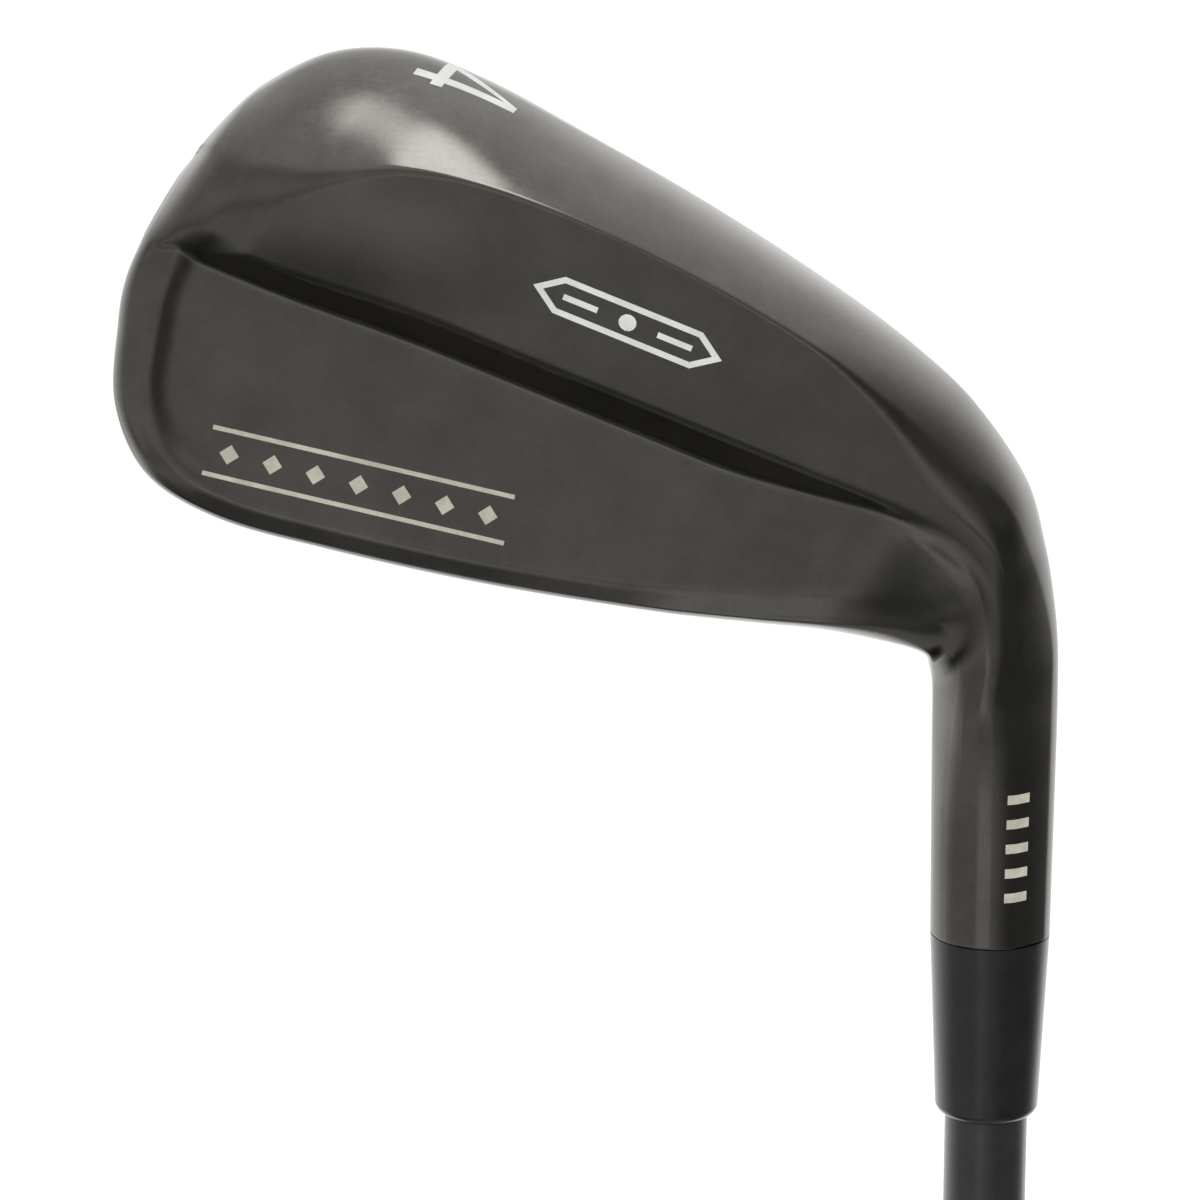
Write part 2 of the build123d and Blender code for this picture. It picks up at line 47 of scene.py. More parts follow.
# ---- camera: behind the head and a little above it, square to the back of the blade --------------
CAMERA_PLACE = (0.060077, -0.528365, 1.106373)
CAMERA_LOOK = (-0.188086, 0.945571, -0.265556)
CAMERA_RIGHT = (0.980785, 0.195090, 0.0)
CAMERA_LENS = 148.34
SENSOR_WIDTH = 36.0
CLIP_RANGE = (0.01, 100.0)
camera_data = bpy.data.cameras.new("camera")
camera_data.lens = CAMERA_LENS
camera_data.sensor_width = SENSOR_WIDTH
camera_data.clip_start, camera_data.clip_end = CLIP_RANGE
camera = bpy.data.objects.new("camera", camera_data)
bpy.context.scene.collection.objects.link(camera)
look = Vector(CAMERA_LOOK).normalized()
right = Vector(CAMERA_RIGHT).normalized()
up = right.cross(look)
turn = Matrix((right, up, -look)).transposed().to_4x4()
camera.matrix_world = Matrix.Translation(CAMERA_PLACE) @ turn
bpy.context.scene.camera = camera
bpy.context.scene.view_settings.view_transform = "Standard"


# ---- small helpers for node trees --------------------------------------------------------------
class Nodes:
    """A node tree with short calls for making and joining nodes."""

    def __init__(self, tree):
        self.tree = tree
        tree.nodes.clear()

    def add(self, kind, inputs=None, **settings):
        made = self.tree.nodes.new(kind)
        for key, value in settings.items():
            setattr(made, key, value)
        for key, value in (inputs or {}).items():
            self.put(made.inputs[key], value)
        return made

    def put(self, socket, value):
        if isinstance(value, bpy.types.NodeSocket):
            self.tree.links.new(value, socket)
        elif isinstance(value, bpy.types.Node):
            self.tree.links.new(value.outputs[0], socket)
        else:
            socket.default_value = value

    def math(self, operation, first, second=0.0):
        return self.add("ShaderNodeMath", {0: first, 1: second}, operation=operation)

    def ramp(self, value, low, high, start=0.0, end=1.0, kind="SMOOTHSTEP"):
        made = self.add("ShaderNodeMapRange", interpolation_type=kind)
        for index, item in enumerate((value, low, high, start, end)):
            self.put(made.inputs[index], item)
        return made

    def dot(self, vector, direction):
        made = self.add("ShaderNodeVectorMath", {0: vector}, operation="DOT_PRODUCT")
        made.inputs[1].default_value = direction
        return made.outputs["Value"]

    def place(self, scale=(1.0, 1.0, 1.0), turn=(0.0, 0.0, 0.0)):
        """Object coordinates in millimetres, stretched by a scale and turned."""
        where = self.add("ShaderNodeTexCoord")
        made = self.add("ShaderNodeMapping", {"Vector": where.outputs["Object"]})
        made.inputs["Scale"].default_value = [one / MM for one in scale]
        made.inputs["Rotation"].default_value = turn
        return made

    def noise(self, vector, scale, detail=2.0, rough=0.5):
        inputs = {"Vector": vector, "Scale": scale, "Detail": detail, "Roughness": rough}
        return self.add("ShaderNodeTexNoise", inputs).outputs["Fac"]

    def colours(self, factor, first, second):
        made = self.add("ShaderNodeMix", {"Factor": factor}, data_type="RGBA")
        made.inputs["A"].default_value = (*first, 1.0)
        made.inputs["B"].default_value = (*second, 1.0)
        return made.outputs["Result"]


# ---- light -------------------------------------------------------------------------------------
BACKDROP_WAY = look
RIGHT_WAY = Vector((0.97, -0.22, -0.10)).normalized()
LAMP_WAY = Vector((0.0, 0.08, 1.0)).normalized()
STRIP_WAY = Vector((-0.14, -0.955, -0.26)).normalized()
UNDER_WAY = Vector((0.15, -0.20, -0.97)).normalized()
HORIZON_DROP = 0.22
ROOM_GREY = 0.37
ROOM_BRIGHT = 1.30
ROOM_WHITE = 1.05

world = bpy.data.worlds.new("studio")
bpy.context.scene.world = world
world.use_nodes = True
sky = Nodes(world.node_tree)
way = sky.add("ShaderNodeTexCoord").outputs["Generated"]
towards_backdrop = sky.dot(way, BACKDROP_WAY)
height = sky.dot(way, (0.0, 0.0, 1.0))
# Each ramp is: where it starts and ends, and its strength at the two ends.
behind = sky.ramp(towards_backdrop, -0.10, 0.85, ROOM_GREY, ROOM_BRIGHT)
below = sky.ramp(height, -0.86, -0.45, 0.12, 1.0)
below = sky.math("MAXIMUM", below, sky.ramp(towards_backdrop, 0.10, 0.70))
above = sky.ramp(height, 0.15, 0.62, 1.0, 0.80)
sideways = sky.ramp(sky.dot(way, RIGHT_WAY), 0.30, 0.85, 1.0, 0.27)
from_horizon = sky.math("ABSOLUTE", sky.math("ADD", height, HORIZON_DROP))
horizon = sky.ramp(from_horizon, 0.0, 0.35, 0.72, 1.0)
strip = sky.ramp(sky.dot(way, STRIP_WAY), 0.955, 0.998, 1.0, 1.7)
overhead = sky.ramp(height, 0.55, 0.85, 0.0, 0.25)
lamp = sky.ramp(sky.dot(way, LAMP_WAY), 0.945, 0.976, 0.0, 2.7)
under_glow = sky.ramp(sky.dot(way, UNDER_WAY), 0.80, 0.97, 0.0, 0.26)
glow = behind
for part in (below, above, sideways, horizon, strip):
    glow = sky.math("MULTIPLY", glow, part)
for part in (overhead, lamp, under_glow):
    glow = sky.math("ADD", glow, part)
rays = sky.add("ShaderNodeLightPath")
glossy = rays.outputs["Is Glossy Ray"]
strength = sky.add("ShaderNodeMix", {"Factor": glossy, "A": ROOM_WHITE, "B": glow}, data_type="FLOAT")
background = sky.add("ShaderNodeBackground", {"Strength": strength.outputs["Result"]})
background.inputs["Color"].default_value = (1.0, 1.0, 0.995, 1.0)
sky.add("ShaderNodeOutputWorld", {"Surface": background})


def soft_light(name, place, target, size, power):
    """A square studio light turned towards a point."""
    data = bpy.data.lights.new(name, "AREA")
    data.shape = "SQUARE"
    data.size = size
    data.energy = power
    light = bpy.data.objects.new(name, data)
    light.location = place
    light.rotation_euler = (Vector(target) - Vector(place)).to_track_quat("-Z", "Y").to_euler()
    bpy.context.scene.collection.objects.link(light)
    return light


HEAD_MIDDLE = (-0.03, 0.0, 0.98)
KEY_PLACE = (-1.2, 1.0, 2.2)
KEY_SIZE = 0.9
KEY_POWER = 14.0
key = soft_light("key", KEY_PLACE, HEAD_MIDDLE, KEY_SIZE, KEY_POWER)
key.visible_glossy = False

floor_mesh = bpy.data.meshes.new("floor")
FLOOR_HALF = 40.0
corners = [(-1, -1), (1, -1), (1, 1), (-1, 1)]
floor_mesh.from_pydata([(x * FLOOR_HALF, y * FLOOR_HALF, 0.0) for x, y in corners], [], [(0, 1, 2, 3)])
floor = bpy.data.objects.new("floor", floor_mesh)
bpy.context.scene.collection.objects.link(floor)
floor.visible_glossy = False
floor_paint = bpy.data.materials.new("floor_paint")
floor_paint.use_nodes = True
floor_nodes = Nodes(floor_paint.node_tree)
paint = floor_nodes.add("ShaderNodeBsdfPrincipled")
paint.inputs["Base Color"].default_value = (0.93, 0.93, 0.93, 1.0)
paint.inputs["Roughness"].default_value = 0.9
paint.inputs["Emission Color"].default_value = (1.0, 1.0, 1.0, 1.0)
paint.inputs["Emission Strength"].default_value = 0.10
floor_nodes.add("ShaderNodeOutputMaterial", {"Surface": paint})
floor_mesh.materials.append(floor_paint)


# ---- materials -----------------------------------------------------------------------------------
HAIR_TURN = (0.3, 0.2, 0.5)
CLOUD_SHARE, GRAIN_SHARE = 0.7, 0.3
BUMP_DISTANCE = 0.00005
COAT_ROUGHNESS = 0.1


def finish_material(name, colour_a, colour_b, rough_low, rough_high, metallic=0.0, coat=0.0, mottle=0.35,
                    grain=3.0, grain_bump=0.0, scratch=0.0, stretch=(1.0, 1.0, 1.0)):
    """A surface with cloudy colour and roughness, fine grain, and hairline scratches."""
    material = bpy.data.materials.new(name)
    material.use_nodes = True
    tree = Nodes(material.node_tree)
    where = tree.place()
    cloud = tree.noise(where, mottle, detail=4.0, rough=0.6)
    fine = tree.noise(where, grain, detail=3.0, rough=0.65)
    hair = tree.noise(tree.place(stretch, HAIR_TURN), scale=1.0, detail=2.0, rough=0.7)
    hairline = tree.ramp(hair, 0.56, 0.70)
    clouds = tree.math("MULTIPLY", cloud, CLOUD_SHARE)
    tone = tree.math("ADD", clouds, tree.math("MULTIPLY", fine, GRAIN_SHARE))
    colour = tree.colours(tree.ramp(tone, 0.35, 0.65), colour_a, colour_b)
    rough = tree.ramp(tone, 0.32, 0.68, rough_low, rough_high, "LINEAR")
    rough = tree.math("ADD", rough, tree.math("MULTIPLY", hairline, scratch))
    shader = tree.add("ShaderNodeBsdfPrincipled", {"Base Color": colour, "Roughness": rough})
    shader.inputs["Metallic"].default_value = metallic
    shader.inputs["Coat Weight"].default_value = coat
    shader.inputs["Coat Roughness"].default_value = COAT_ROUGHNESS
    if grain_bump:
        height = tree.math("ADD", fine, tree.math("MULTIPLY", hairline, -0.5))
        bump = tree.add("ShaderNodeBump", {"Height": height, "Strength": grain_bump})
        bump.inputs["Distance"].default_value = BUMP_DISTANCE
        tree.put(shader.inputs["Normal"], bump.outputs["Normal"])
    tree.add("ShaderNodeOutputMaterial", {"Surface": shader})
    return material


def grey(level):
    return (level, level, level)


materials = {
    "black_chrome": finish_material(
        "black_chrome", (0.170, 0.164, 0.152), (0.205, 0.198, 0.184), 0.13, 0.20,
        metallic=1.0, mottle=0.12, grain=1.6, grain_bump=0.04, scratch=0.05, stretch=(0.05, 3.0, 3.0)),
    "face_steel": finish_material(
        "face_steel", (0.225, 0.215, 0.205), (0.25, 0.24, 0.23), 0.30, 0.36,
        metallic=1.0, mottle=0.2, grain=2.0, grain_bump=0.25, scratch=0.10, stretch=(0.04, 5.0, 5.0)),
    "tungsten": finish_material(
        "tungsten", (0.30, 0.30, 0.29), (0.38, 0.38, 0.37), 0.3, 0.45, metallic=1.0, grain_bump=0.2),
    "damper_rubber": finish_material(
        "damper_rubber", grey(0.03), grey(0.05), 0.7, 0.9, grain_bump=0.4),
    "silver_fill": finish_material(
        "silver_fill", (0.60, 0.60, 0.57), (0.70, 0.70, 0.67), 0.35, 0.5, grain_bump=0.1),
    "champagne_fill": finish_material(
        "champagne_fill", (0.40, 0.39, 0.32), (0.52, 0.51, 0.42), 0.4, 0.55, grain_bump=0.1),
    "white_fill": finish_material(
        "white_fill", (0.62, 0.63, 0.60), (0.75, 0.76, 0.73), 0.4, 0.55, grain_bump=0.1),
    "ferrule_plastic": finish_material(
        "ferrule_plastic", grey(0.008), grey(0.013), 0.16, 0.24,
        coat=0.5, mottle=0.2, grain=2.5, grain_bump=0.05, scratch=0.06, stretch=(4.0, 4.0, 0.06)),
    "epoxy": finish_material("epoxy", (0.28, 0.25, 0.18), (0.34, 0.30, 0.22), 0.2, 0.4),
    "plug_brass": finish_material(
        "plug_brass", (0.65, 0.5, 0.22), (0.75, 0.6, 0.28), 0.25, 0.4, metallic=1.0, grain_bump=0.2),
    "shaft_composite": finish_material(
        "shaft_composite", grey(0.018), grey(0.026), 0.25, 0.35,
        coat=0.6, mottle=0.1, grain=1.5, grain_bump=0.05, scratch=0.05, stretch=(4.0, 4.0, 0.05)),
    "tape": finish_material("tape", (0.6, 0.55, 0.45), (0.75, 0.7, 0.6), 0.7, 0.9),
    "grip_rubber": finish_material(
        "grip_rubber", grey(0.018), (0.032, 0.032, 0.031), 0.62, 0.8,
        mottle=0.15, grain=2.5, grain_bump=0.5),
    "cap_rubber": finish_material("cap_rubber", grey(0.016), grey(0.028), 0.6, 0.78, grain_bump=0.5),
}

# ---- the blade's own frame: toe, up the face, and depth behind the face -------------------------
LIE = math.radians(60.5)
LOFT = math.radians(22.0)
FACE_OFFSET = 5.0
TOE = np.array((-math.sin(LIE), 0.0, math.cos(LIE)))
TARGET = np.array((0.0, 1.0, 0.0))
SKYWARD = np.array((-math.cos(LIE), 0.0, -math.sin(LIE)))
FACE_OUT = TARGET * math.cos(LOFT) + SKYWARD * math.sin(LOFT)
UP_FACE = SKYWARD * math.cos(LOFT) - TARGET * math.sin(LOFT)
GROUND_POINT = np.array((0.0, 0.0, 984.0))
HOSEL_LENGTH = 62.5
HOSEL_END_RADIUS = 6.75
HOSEL_ROOT_RADIUS = 7.0
HOSEL_BLEND = 38.0
CROTCH = GROUND_POINT + np.array((-10.2, 0.0, -33.1))
FACET_START = (20.0, 20.2, 10.0)
FACET_TOE_SLOPE = 0.102
FACET_SOLE_SLOPE = 0.631
POCKET_DEPTH = 5.5
LEADING_RADIUS = 2.6
TOP_FACE_BEVEL = 0.7       # topline to the face's upper edge
TOP_BEVEL = 2.0            # topline bevel on the back, up the face
TOP_BEVEL_DEPTH = 2.2      # and square to it
LEDGE_DROP = 0.3           # the ledge's top stays at least this much below the crease
NO_LIMIT = 99.0
TOE_ROUND_START = 76.0
TOE_END = 91.2
TOE_ROUND_DEPTH = 14.5


def blade_points(toe, up, depth):
    """Points given by their places in the blade's frame."""
    toe, up, depth = np.broadcast_arrays(toe, up, depth)
    along = toe[..., None] * TOE + up[..., None] * UP_FACE
    return GROUND_POINT + along + (FACE_OFFSET - depth)[..., None] * FACE_OUT


def blade_places(points):
    """The toe, up and depth of points."""
    from_ground = points - GROUND_POINT
    return from_ground @ TOE, from_ground @ UP_FACE, FACE_OFFSET - from_ground @ FACE_OUT


def facet_depth(toe, up):
    start_toe, start_up, start_depth = FACET_START
    return start_depth + FACET_TOE_SLOPE * (toe - start_toe) - FACET_SOLE_SLOPE * (up - start_up)


def toe_ellipse(toe):
    """Depth left of the muscle where the toe rounds off."""
    past = np.clip((toe - TOE_ROUND_START) / (TOE_END - TOE_ROUND_START), 0.0, 1.0)
    return np.where(past > 0, TOE_ROUND_DEPTH * np.sqrt(1.0 - past**2), NO_LIMIT)


def blade_corners(toe, sole, crease, ledge_top, ledge_foot, top, back):
    crease_depth = float(np.minimum(facet_depth(toe, crease), toe_ellipse(toe)))
    ledge_depth = min(facet_depth(toe, ledge_top), crease_depth - LEDGE_DROP)
    return [
        (top - TOP_FACE_BEVEL, 0.0),
        (sole + LEADING_RADIUS, 0.0),
        (sole, LEADING_RADIUS),
        (crease, crease_depth),
        (ledge_top, ledge_depth),
        (ledge_foot, back),
        (top - TOP_BEVEL, back),
        (top, back - TOP_BEVEL_DEPTH),
    ]


# Every list of eight runs round a section: face, leading edge, sole, muscle, ledge, pocket, bevel, topline.
BLADE_BULGES = [0.0, 0.9, 1.3, 0.0, 0.0, 0.0, 0.15, 0.3]
# Each station: its place along the toe, then sole, crease, ledge top, ledge foot and topline up the face,
# and the depth of the pocket's floor.
BLADE_STATIONS = [
    (2.0, 2.0, 11.4, 17.8, 19.8, 31.8, POCKET_DEPTH + 0.3),
    (10.0, 0.2, 9.3, 18.8, 21.0, 35.6, POCKET_DEPTH),
    (20.0, -0.9, 7.9, 20.2, 22.7, 40.2, POCKET_DEPTH),
    (38.0, -1.6, 8.5, 22.9, 25.8, 47.5, POCKET_DEPTH),
    (55.0, -1.4, 10.8, 25.7, 28.9, 53.3, POCKET_DEPTH),
    (67.0, -0.9, 14.4, 27.7, 31.1, 56.6, POCKET_DEPTH),
    (76.0, 0.8, 20.2, 29.4, 32.4, 56.4, POCKET_DEPTH),
    (83.0, 5.2, 25.2, 32.0, 34.0, 51.5, POCKET_DEPTH + 0.9),
    (87.5, 12.0, 28.0, 32.2, 34.2, 43.5, POCKET_DEPTH + 0.2),
    (89.2, 17.4, 28.9, 31.6, 33.2, 39.2, POCKET_DEPTH - 0.9),
    (90.0, 23.5, 28.6, 29.8, 31.0, 34.4, POCKET_DEPTH - 2.2),
]
SOLE_BULGE_TOES = [38.0, 55.0, 67.0, 76.0, 83.0, 87.5, 89.2, 90.0]
SOLE_BULGES = [1.3, 1.5, 1.9, 2.2, 2.2, 1.8, 1.1, 0.8]
HEEL_CORNERS = [
    (27.2, -3.6), (8.8, -2.2), (6.2, 0.8), (13.0, 11.2),
    (18.0, 8.6), (20.5, 7.6), (25.4, 5.9), (28.5, 4.2),
]
HEEL_BULGES = [0.8, 0.6, 1.4, 0.3, 0.1, 0.15, 0.3, 0.5]
# How far the blade's back runs on over the hosel, at the corners from the crease to the bevel.
FIN_CORNERS = [(0.0, 1.3), (0.0, 3.4), (-0.6, 3.4), (-1.8, 3.0)]
HEEL_FIN = 0.6
FIN_START = 3
HOSEL_ANGLES = [-60, -120, -150, 140, 90, 75, 45, 20]
HEEL_STEPS = 4
LEAST_BULGE = 0.004
SOLE_POINT = 4


def section_points(origin, across, deeper, corners, bulges):
    """Eight corners of a section, each followed by the middle of its edge, as 3-D points."""
    flat = np.array(corners, float)
    following = np.roll(flat, -1, axis=0)
    along = following - flat
    length = np.linalg.norm(along, axis=1)[:, None]
    outward = np.stack((-along[:, 1], along[:, 0]), axis=1) / length
    middle = (flat + following) / 2 + outward * np.maximum(bulges, LEAST_BULGE)[:, None]
    ring = np.stack((flat, middle), axis=1).reshape(-1, 2)
    return origin + ring[:, :1] * across + ring[:, 1:] * deeper


def round_section(radius, centre=0.0):
    corners = [(centre + radius * math.cos(math.radians(a)), radius * math.sin(math.radians(a)))
               for a in HOSEL_ANGLES]
    turns = [(a - b) % 360 for a, b in zip(HOSEL_ANGLES, HOSEL_ANGLES[1:] + HOSEL_ANGLES[:1])]
    return corners, np.array([radius * (1 - math.cos(math.radians(one / 2))) for one in turns])


def hosel_radius(down):
    return np.interp(down, (HOSEL_BLEND, HOSEL_LENGTH), (HOSEL_ROOT_RADIUS, HOSEL_END_RADIUS))


def hosel_section(down, radius, fin=0.0):
    """Square to the shaft, this far from the ground crossing."""
    origin = GROUND_POINT - np.array((0.0, 0.0, down))
    corners, bulges = round_section(radius)
    across, deeper = np.array((-1.0, 0, 0)), np.array((0, -1.0, 0))
    return section_points(origin, across, deeper, with_fin(corners, fin), bulges)


def with_fin(corners, fin):
    moved = np.array(corners)
    moved[FIN_START:FIN_START + len(FIN_CORNERS)] += fin * np.array(FIN_CORNERS)
    return moved


def heel_section(share):
    """A section part of the way from the round hosel to the heel station."""
    blend = share**2
    round_corners, round_bulges = round_section(HOSEL_ROOT_RADIUS, CROTCH[0])
    crotch_up = (CROTCH - GROUND_POINT) @ UP_FACE
    crotch_depth = FACE_OFFSET - (CROTCH - GROUND_POINT) @ FACE_OUT
    heel = np.array(HEEL_CORNERS) - (crotch_up, crotch_depth)
    corners = with_fin(round_corners, HEEL_FIN) * (1 - blend) + heel * blend
    bulges = round_bulges * (1 - blend) + np.array(HEEL_BULGES) * blend
    tilt, roll = LIE * share, LOFT * share
    flat_up = np.array((-math.cos(tilt), 0.0, -math.sin(tilt)))
    across = flat_up * math.cos(roll) - TARGET * math.sin(roll)
    square = np.array((-math.sin(tilt), 0.0, math.cos(tilt)))
    return section_points(CROTCH, across, np.cross(square, across), corners, bulges)


HOSEL_FINS = [(61.0, 0.0), (55.0, 0.01), (49.0, 0.04), (43.5, 0.13), (38.0, 0.32)]
key_sections = [hosel_section(down, hosel_radius(down), fin) for down, fin in HOSEL_FINS]
key_sections += [heel_section(step / HEEL_STEPS) for step in range(HEEL_STEPS + 1)]
for station in BLADE_STATIONS:
    origin = blade_points(station[0], 0.0, 0.0)
    bulges = np.array(BLADE_BULGES)
    bulges[2] = np.interp(station[0], SOLE_BULGE_TOES, SOLE_BULGES)
    key_sections.append(section_points(origin, UP_FACE, -FACE_OUT, blade_corners(*station), bulges))
key_sections = np.array(key_sections)
steps = np.linalg.norm(np.diff(key_sections[:, SOLE_POINT], axis=0), axis=1)
knots = np.concatenate(([0.0], np.cumsum(steps)))


def smooth_rails(at):
    """Cubic rails through the key sections, with each knot's slope set by its neighbours."""
    count = len(knots)
    index = np.clip(np.searchsorted(knots, at, side="right") - 1, 0, count - 2)
    before = np.maximum(np.arange(count) - 1, 0)
    after = np.minimum(np.arange(count) + 1, count - 1)
    slopes = (key_sections[after] - key_sections[before]) / (knots[after] - knots[before])[:, None, None]
    span = (knots[index + 1] - knots[index])[:, None, None]
    share = (at - knots[index])[:, None, None] / span
    rise = share**2 * (3 - 2 * share)
    leave = share * (1 - share) ** 2 * span
    arrive = share**2 * (share - 1) * span
    start, end = key_sections[index], key_sections[index + 1]
    return start + (end - start) * rise + slopes[index] * leave + slopes[index + 1] * arrive


# ---- dense skin of the head ----------------------------------------------------------------------
EDGE_SAMPLES = [32, 8, 32, 26, 9, 44, 8, 18]
CORNER_SAMPLES = [4, 5, 12, 7, 6, 7, 5, 5]
CORNER_TRIMS = [0.35, 0.7, 0.8, 0.9, 0.7, 1.2, 0.5, 0.5]
TRIM_LIMIT = 0.42          # the most of an edge that one corner's round may take
SOLE_CORNER = 2
SOLE_TRIM_TOES = [30.0, 50.0, 76.0]
SOLE_TRIMS = [0.8, 1.8, 3.6]
CREASE_CORNER = 3
CREASE_TRIM_TOES = [-2.0, 16.0]
CREASE_TRIMS = [3.5, 0.9]
SKIN_PITCH = 0.6
TOE_PITCH = 0.3
TOE_STATIONS = 4           # the last spans, where the toe rounds off, are sampled more closely
LIP_ROUNDING = 0.22        # round at the hosel's mouth
LIP_RINGS = 5
MOUTH_RINGS = 3            # below the lip, down to the first key section
toe_knot = knots[-1 - TOE_STATIONS]
coarse, close = np.arange(0.0, toe_knot, SKIN_PITCH), np.arange(toe_knot, knots[-1], TOE_PITCH)
rails = smooth_rails(np.concatenate((coarse, close, [knots[-1]])))
hosel_downs = np.linspace(HOSEL_LENGTH, HOSEL_FINS[0][0], MOUTH_RINGS + 1)[:-1]
hosel_radii = hosel_radius(hosel_downs)
quarter = np.linspace(0, math.pi / 2, LIP_RINGS + 1)[:-1]
lip_downs = HOSEL_LENGTH - LIP_ROUNDING * (1 - np.cos(quarter))
lip_radii = HOSEL_END_RADIUS - LIP_ROUNDING * (1 - np.sin(quarter))
hosel_downs = np.concatenate((lip_downs, np.minimum(hosel_downs, HOSEL_LENGTH - LIP_ROUNDING)))
hosel_radii = np.concatenate((lip_radii, hosel_radii))
hosel_rings = np.array([hosel_section(d, r) for d, r in zip(hosel_downs, hosel_radii)])
rails = np.concatenate((hosel_rings, rails))


def ring_samples(rails):
    """Points round every section: arcs along the edges, and a small round at each corner.

    Zones tell where a point lies: an edge has its own number, and the corner before it half a step less.
    """
    edges = []
    for index in range(8):
        start = rails[:, 2 * index]
        middle = rails[:, 2 * index + 1]
        end = rails[:, (2 * index + 2) % 16]
        chord = end - start
        half = np.linalg.norm(chord, axis=1) / 2
        bow = middle - (start + end) / 2
        rise = np.linalg.norm(bow, axis=1)
        radius = (half**2 + rise**2) / (2 * rise)
        angle = 2 * np.arctan2(rise, half)
        along = chord / (2 * half[:, None])
        edges.append(((start + end) / 2, along, bow / rise[:, None], rise, radius, angle))

    def on_arc(index, share):
        middle, along, outward, rise, radius, angle = edges[index]
        turned = share * angle
        forward = (radius * np.sin(turned))[:, None] * along
        return middle + forward + (radius * np.cos(turned) - radius + rise)[:, None] * outward

    parts, zones = [], []
    lengths = [2 * edge[4] * edge[5] for edge in edges]
    wanted_trims = [np.full(len(rails), one) for one in CORNER_TRIMS]
    wanted_trims[SOLE_CORNER] = np.interp(blade_places(rails[:, 4])[0], SOLE_TRIM_TOES, SOLE_TRIMS)
    wanted_trims[CREASE_CORNER] = np.interp(blade_places(rails[:, 6])[0], CREASE_TRIM_TOES, CREASE_TRIMS)
    for index in range(8):
        before = (index - 1) % 8
        trim = np.minimum(wanted_trims[index], TRIM_LIMIT * lengths[index])
        come_trim = np.minimum(trim, TRIM_LIMIT * lengths[before])
        come = on_arc(before, 1 - 2 * come_trim / lengths[before])
        leave = on_arc(index, -1 + 2 * trim / lengths[index])
        corner = rails[:, 2 * index]
        for share in (np.arange(CORNER_SAMPLES[index]) + 0.5) / CORNER_SAMPLES[index]:
            parts.append(come * (1 - share) ** 2 + corner * 2 * share * (1 - share) + leave * share**2)
            zones.append(index - 0.5)
        following = (index + 1) % 8
        shorter = np.minimum(lengths[following], lengths[index])
        next_trim = np.minimum(wanted_trims[following], TRIM_LIMIT * shorter)
        first = -1 + 2 * trim / lengths[index]
        last = 1 - 2 * next_trim / lengths[index]
        for share in np.linspace(0, 1, EDGE_SAMPLES[index]):
            parts.append(on_arc(index, first + (last - first) * share))
            zones.append(index)
    return np.stack(parts, axis=1), np.array(zones)


rings, zones = ring_samples(rails)


def smooth_least(first, second, width):
    """The lesser of two values, blended where they are close."""
    gap = np.clip(0.5 + 0.5 * (second - first) / width, 0, 1)
    return second + (first - second) * gap - width * gap * (1 - gap)


def smooth_most(first, second, width):
    return -smooth_least(-first, -second, width)


def smooth_step(value, low, high):
    share = np.clip((value - low) / (high - low), 0, 1)
    return share**2 * (3 - 2 * share)


# The blade's outline on the topline side, from the heel round to the toe's flat tip.
OUTLINE_SAMPLES = 440
OUTLINE_BATCH = 40         # spans compared at a time
TOPLINE_POINT = 14         # the topline corner's place in a section's points
fine_rails = smooth_rails(np.linspace(knots[len(HOSEL_FINS)], knots[-1], OUTLINE_SAMPLES))
outline_toe, outline_up, _ = blade_places(fine_rails[:, TOPLINE_POINT])
TIP_OUTLINE = [(90.2, 32.0), (90.3, 29.0), (90.2, 26.0), (90.0, 23.5)]
outline_toe = np.concatenate((outline_toe, [one[0] for one in TIP_OUTLINE]))
outline_up = np.concatenate((outline_up, [one[1] for one in TIP_OUTLINE]))


def inside_distance(toe, up):
    """Distance from points in the blade's plane to that outline."""
    shape = toe.shape
    points = np.stack((toe.ravel(), up.ravel()), axis=1)
    start = np.stack((outline_toe[:-1], outline_up[:-1]), axis=1)
    along = np.stack((np.diff(outline_toe), np.diff(outline_up)), axis=1)
    least = np.full(len(points), np.inf)
    for first in range(0, len(start), OUTLINE_BATCH):
        a, s = start[first:first + OUTLINE_BATCH], along[first:first + OUTLINE_BATCH]
        share = np.einsum("pij,ij->pi", points[:, None] - a[None], s) / (s**2).sum(axis=1)
        nearest = a[None] + np.clip(share, 0, 1)[..., None] * s[None]
        least = np.minimum(least, np.linalg.norm(points[:, None] - nearest, axis=2).min(axis=1))
    return least.reshape(shape)


WALL_TOES = [-8.0, 5.0, 14.0, 24.0, 40.0, 70.0, 78.0, 84.0, 92.0]
WALL_WIDTHS = [4.2, 3.8, 3.0, 2.2, 2.0, 2.2, 3.2, 4.3, 4.6]
BEVEL_TOES = [5.0, 14.0, 24.0, 40.0]
BEVEL_SLOPES = [0.36, 0.42, 0.60, 0.74]
MUSCLE_WALL_WIDTH = 8.0    # the toe rounds off over more where the muscle is thick
LIP_HEIGHT = 0.8
LIP_OUTSIDE = 1.1
LIP_INSIDE = 1.9
EDGE_DEPTH = 2.6
FACET_CROWN = 0.17         # the muscle is crowned towards the toe
FACET_CROWN_WIDTH = 7.0
CROWN_GROWS = (50.0, 70.0)
CROWN_FADES = (74.0, 84.0)
WALL_RISE = 0.08
HEEL_RISE = 4.0            # the blade thickens towards the hosel
HEEL_RISE_SPAN = (-24.0, 4.0)
LEDGE_START = (20.0, 20.2)
LEDGE_SLOPE = 0.1616
LEDGE_LIFT = 0.7
LEDGE_LIFT_TOES = (55.0, 76.0)
LEDGE_DEPTH = 10.0
LEDGE_STEEPNESS = 1.7
MUSCLE_SPAN = (-1.0, 5.0)  # the muscle ends over this much above the ledge line
